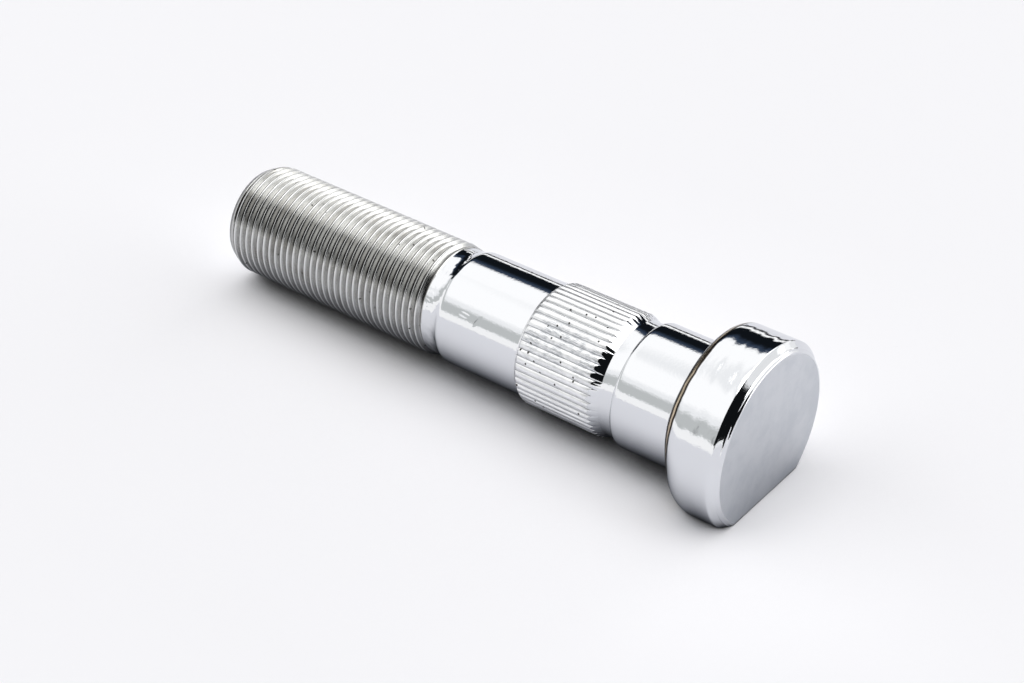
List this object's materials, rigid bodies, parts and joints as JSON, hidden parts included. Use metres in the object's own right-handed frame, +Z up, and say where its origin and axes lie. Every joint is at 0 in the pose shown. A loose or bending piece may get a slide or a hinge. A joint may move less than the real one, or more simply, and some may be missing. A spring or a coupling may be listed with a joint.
{
  "type": "wheel stud",
  "caption": "Press-in wheel stud: fine thread, relief, plain shank, straight serration and collar under a thick round head with one flat that stops it turning.",
  "frame": {"origin": "centre of the bounding box's underside, on the surface that the stud lies on", "axes": "+X along the stud from its threaded end to its head, +Z up, away from the surface; the stud's own axis climbs 0.76 degrees towards the head"},
  "size_m": [0.1174, 0.035, 0.0299],
  "materials": {
    "plated_steel": "bright plating, mirror on shank, collar and rim; satin on thread and head face"
  },
  "bodies": {
    "root": {"wheel_stud": "plated_steel"}
  },
  "joints": []
}
